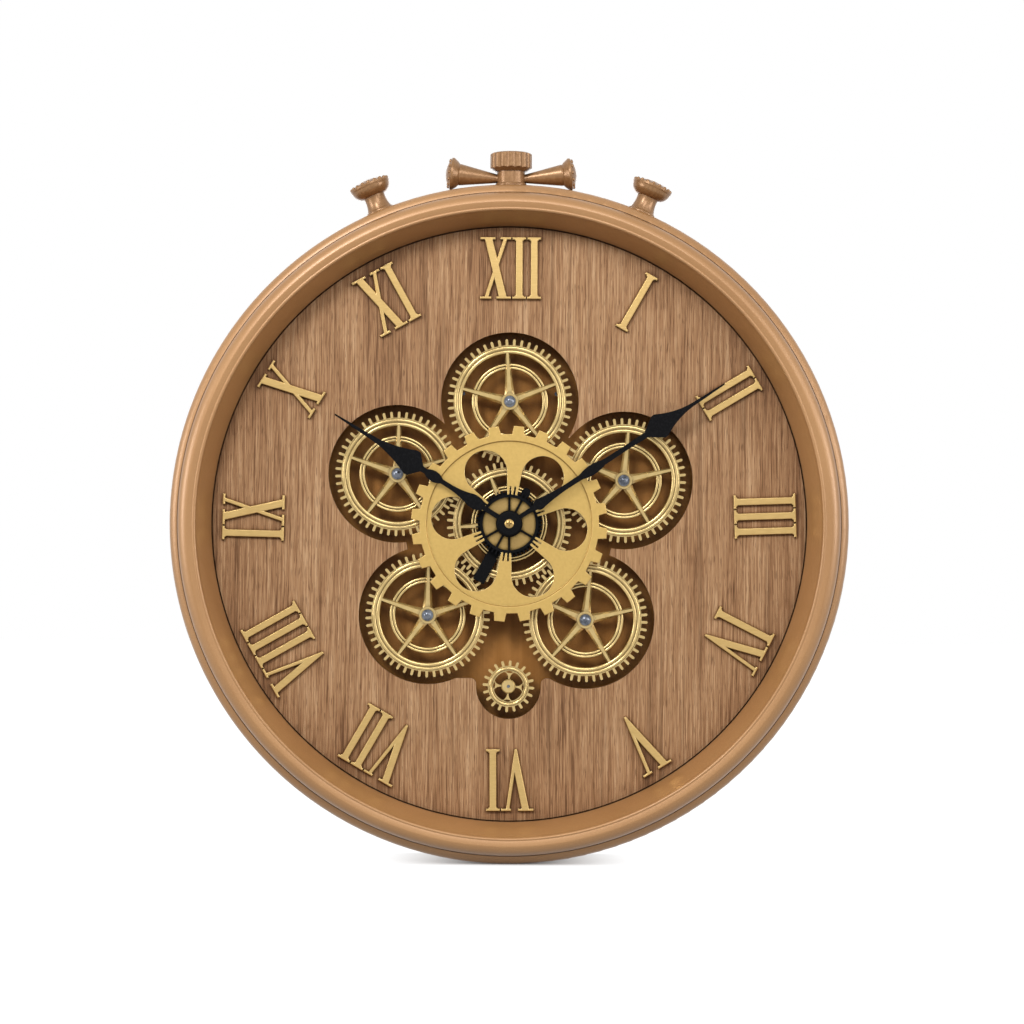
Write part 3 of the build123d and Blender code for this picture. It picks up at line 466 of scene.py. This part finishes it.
def make_bezel():
    """The bezel as a fine turning, with a leaning wall, a narrow lip and a broad bead."""
    wall_foot = (233.1, 53.5)
    lip_in, lip_top, lip_out = (242.3, 76.9), (243.8, 78.9), (245.1, 78.6)
    bead_top, bead_out = (249.3, 79.5), (257.4, 71.0)
    seat, rear = 64.4, 52.0
    tongue_in, tongue_out = 240.6, 249.5
    profile = [wall_foot]
    profile += arc(wall_foot, (237.0, 66.0), lip_in, 16)
    profile += arc(lip_in, (242.85, 78.2), lip_top, 12)
    profile += arc(lip_top, (244.5, 78.85), lip_out, 8)
    profile += arc(lip_out, (247.0, 79.1), bead_top, 12)
    profile += arc(bead_top, (254.0, 77.3), bead_out, 16)
    profile += [(bead_out[0], seat), (tongue_out, seat), (tongue_out, rear)]
    profile += [(tongue_in, rear), (tongue_in, wall_foot[1])]
    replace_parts(turned_piece("turned_bezel", "bronze_lacquer", profile), "bezel")


def make_dial_edging():
    """A thin ring of veneer that narrows the groove round the dial."""
    inner, outer, rear, front = 230.5, 232.1, 48.0, 52.0
    profile = [(inner, rear), (inner, front), (outer, front), (outer, rear)]
    turned_piece("dial_edging", "dial_wood", profile)


make_bezel()
make_dial_edging()


# Floor and white surroundings
def seen_white(shade):
    """1 for what the camera, a mirror or glass sees, and 0 for the light that falls on things."""
    camera = shade.add("ShaderNodeLightPath", out="Is Camera Ray")
    glossy = shade.add("ShaderNodeLightPath", out="Is Glossy Ray")
    through = shade.add("ShaderNodeLightPath", out="Is Transmission Ray")
    return (camera + glossy + through).clamped()


def make_world():
    """White surroundings that light the clock only a little."""
    world = bpy.data.worlds.new("white_room")
    bpy.context.scene.world = world
    world.use_nodes = True
    shade = Shade(world.node_tree)
    background = world.node_tree.nodes["Background"]
    feed(shade, background, "Color", blend(shade, seen_white(shade), (ROOM_LIGHT,) * 3, (1, 1, 1)))


def make_floor():
    """A pale floor, white farther off, that keeps the real shadow near the clock's foot and adds a
    painted shadow there where its glow dims.
    """
    sides = ((-1, -1), (1, -1), (1, 1), (-1, 1))
    corners = [(x * FLOOR_HALF, y * FLOOR_HALF, -CASE_RADIUS) for x, y in sides]
    mesh = bpy.data.meshes.new("floor")
    mesh.from_pydata(corners, [], [(0, 1, 2, 3)])
    floor = bpy.data.objects.new("floor", mesh)
    bpy.context.scene.collection.objects.link(floor)
    material, shade, surface = new_finish("pale_floor")
    where = place_on(shade)
    across = shade.add("ShaderNodeSeparateXYZ", {}, {0: where}, out="X")
    depth = shade.add("ShaderNodeSeparateXYZ", {}, {0: where}, out="Y")
    beyond = shade.maths("ABSOLUTE", depth - FACE_PLANE / 2) + FACE_PLANE / 2
    before = SHADOW_FALL * shade.maths("MAXIMUM", beyond, 0.0)
    # Painted shadow: the glow dims towards the foot, where the real shadow falls on the paler base
    # colour.
    far = band(shade, shade.maths("SQRT", across * across + before * before), 0.0, SHADOW_REACH)
    glow = blend(shade, far, (0.03, 0.03, 0.03), (1, 1, 1))
    feed(shade, surface, "Base Color", blend(shade, far, (0.62, 0.62, 0.62), (0.04, 0.04, 0.04)))
    feed(shade, surface, "Roughness", 0.9)
    feed(shade, surface, "Emission Strength", 1.0)
    feed(shade, surface, "Emission Color", blend(shade, seen_white(shade), (0, 0, 0), glow))
    mesh.materials.append(material)


def make_lamp(name, place, size, watts):
    """A round soft lamp that faces the clock."""
    data = bpy.data.lights.new(name, "AREA")
    data.shape = "DISK"
    data.size = size
    data.energy = watts
    lamp = bpy.data.objects.new(name, data)
    lamp.location = place
    lamp.rotation_mode = "QUATERNION"
    lamp.rotation_quaternion = (-Vector(place)).to_track_quat("-Z", "Y")
    bpy.context.scene.collection.objects.link(lamp)


def make_camera():
    """A camera on the line of sight of the photograph: a little below the axis, and slightly rolled."""
    distance = PIXEL * IMAGE_SIDE * LENS_MM / SENSOR_MM
    right = (IMAGE_SIDE / 2 - AXIS_PIXEL[0]) * PIXEL
    up = (AXIS_PIXEL[1] - IMAGE_SIDE / 2) * PIXEL
    aim = Vector((right, FACE_PLANE, up))
    data = bpy.data.cameras.new("camera")
    data.lens = LENS_MM
    data.sensor_width = SENSOR_MM
    data.dof.use_dof = False
    camera = bpy.data.objects.new("camera", data)
    camera.location = aim + distance * Vector((0, -cos(BELOW_AXIS), -sin(BELOW_AXIS)))
    camera.rotation_mode = "QUATERNION"
    look = (aim - camera.location).to_track_quat("-Z", "Y")
    camera.rotation_quaternion = look @ Quaternion((0, 0, 1), ROLL)
    bpy.context.scene.collection.objects.link(camera)
    bpy.context.scene.camera = camera


make_world()
make_floor()
make_lamp("key", (-1.0, -2.0, 1.5), 0.7, 32)
make_lamp("front", (0.3, -2.0, 1.2), 1.0, 15)
make_lamp("fill", (1.6, -1.6, 0.9), 1.0, 7)
make_lamp("left", (-1.9, -0.75, 0.25), 0.8, 12)
make_lamp("right", (1.9, -0.75, 0.25), 0.8, 10)
make_lamp("back", (0, 2.2, 0.3), 2.0, 17)
make_camera()
bpy.context.scene.view_settings.view_transform = "Standard"
